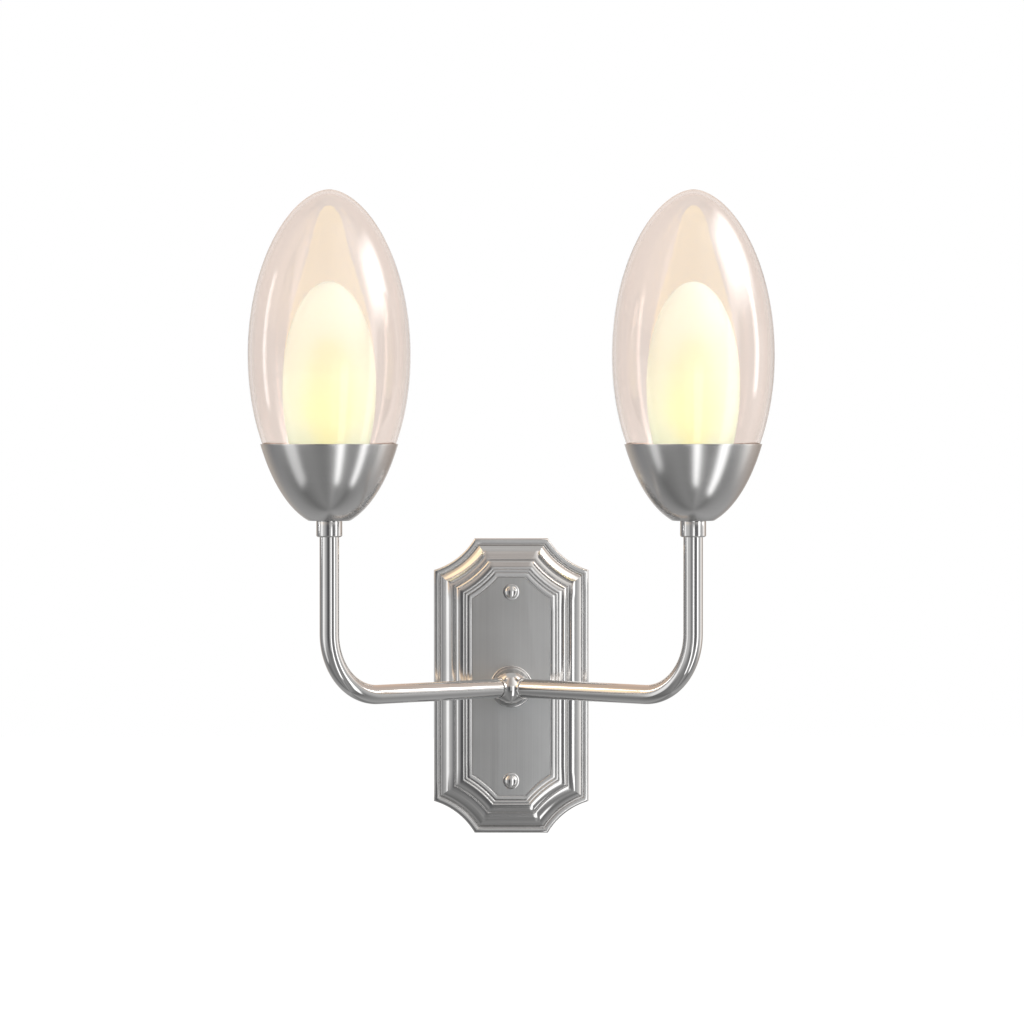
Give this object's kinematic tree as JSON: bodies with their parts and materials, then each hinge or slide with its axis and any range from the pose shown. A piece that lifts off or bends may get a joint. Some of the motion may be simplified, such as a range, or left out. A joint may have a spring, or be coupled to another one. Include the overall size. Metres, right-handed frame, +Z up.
{
  "type": "wall sconce",
  "caption": "Wall sconce: a moulded plate with scooped corners, two bent tube arms, metal cups and double glass shades that lift off.",
  "frame": {"origin": "centre of the mounting bar's slots, on the wall plane", "axes": "+Z up, +X to the viewer's right, +Y into the wall; the lights stand out towards -Y"},
  "size_m": [0.3412, 0.1889, 0.4288],
  "materials": {
    "nickel": "satin brushed nickel plate with a warm cast",
    "nickel_panel": "fine vertical brushing under a satin lacquer",
    "nickel_tube": "nickel plate polished along the tube",
    "zinc": "zinc-plated steel",
    "earth_green": "green-dyed zinc plate",
    "wire_sheath": "off-white sheath",
    "porcelain": "glazed white",
    "brass": "plain, slightly dulled",
    "silicone": "translucent white silicone",
    "clear_glass": "clear, with a faint warm tint",
    "frosted_glass": "etched white inside, lit from within",
    "lamp_glass": "pearl lamp glass, milky inside",
    "lamp_insulator": "black vitreous insulator",
    "filament": "glowing filament"
  },
  "bodies": {
    "root": {"mounting_bar": "zinc", "earth_screw": "earth_green", "backplate": "nickel", "centre_panel": "nickel_panel", "plate_screws": "nickel", "plate_screw_rings": "nickel", "hub_ring": "nickel", "hub_ball": "nickel", "hub_nipple": "zinc", "hub_washer": "zinc", "hub_nut": "zinc", "arm_left": "nickel_tube", "arm_right": "nickel_tube", "lead_left": "wire_sheath", "lead_right": "wire_sheath", "collar_left": "nickel", "collar_right": "nickel", "cup_left": "nickel", "cup_right": "nickel", "cup_nipple_left": "zinc", "cup_nipple_right": "zinc", "cup_washer_left": "zinc", "cup_washer_right": "zinc", "cup_nut_left": "zinc", "cup_nut_right": "zinc", "lamp_holder_left": "porcelain", "lamp_holder_right": "porcelain", "screw_shell_left": "brass", "screw_shell_right": "brass", "holder_contact_left": "brass", "holder_contact_right": "brass", "glass_tray_left": "zinc", "glass_tray_right": "zinc", "shade_ring_left": "porcelain", "shade_ring_right": "porcelain", "outer_gasket_left": "silicone", "outer_gasket_right": "silicone", "inner_gasket_left": "silicone", "inner_gasket_right": "silicone"},
    "outer_glass_left": {"outer_glass_left": "clear_glass"},
    "inner_glass_left": {"inner_glass_left": "frosted_glass"},
    "lamp_left": {"lamp_glass_left": "lamp_glass", "lamp_base_left": "brass", "lamp_insulator_left": "lamp_insulator", "lamp_tip_left": "brass", "lamp_stem_left": "lamp_glass", "filament_left": "filament"},
    "outer_glass_right": {"outer_glass_right": "clear_glass"},
    "inner_glass_right": {"inner_glass_right": "frosted_glass"},
    "lamp_right": {"lamp_glass_right": "lamp_glass", "lamp_base_right": "brass", "lamp_insulator_right": "lamp_insulator", "lamp_tip_right": "brass", "lamp_stem_right": "lamp_glass", "filament_right": "filament"}
  },
  "joints": [
    {"name": "outer_glass_left_lift", "type": "slide", "parent": "root", "child": "outer_glass_left", "axis": [0, 0, 1], "range_m": [0, 0.24]},
    {"name": "inner_glass_left_lift", "type": "slide", "parent": "root", "child": "inner_glass_left", "axis": [0, 0, 1], "range_m": [0, 0.1008]},
    {"name": "lamp_left_turn", "type": "hinge", "parent": "root", "child": "lamp_left", "pos_m": [-0.11786, -0.13612, 0], "axis": [0, 0, 1], "range_deg": [0, 1620]},
    {"name": "outer_glass_right_lift", "type": "slide", "parent": "root", "child": "outer_glass_right", "axis": [0, 0, 1], "range_m": [0, 0.24]},
    {"name": "inner_glass_right_lift", "type": "slide", "parent": "root", "child": "inner_glass_right", "axis": [0, 0, 1], "range_m": [0, 0.1008]},
    {"name": "lamp_right_turn", "type": "hinge", "parent": "root", "child": "lamp_right", "pos_m": [0.11786, -0.13612, 0], "axis": [0, 0, 1], "range_deg": [0, 1620]}
  ],
  "couplings": [
    {"joint": "inner_glass_left_lift", "follows": "outer_glass_left_lift", "ratio": 0.42},
    {"joint": "inner_glass_right_lift", "follows": "outer_glass_right_lift", "ratio": 0.42}
  ]
}
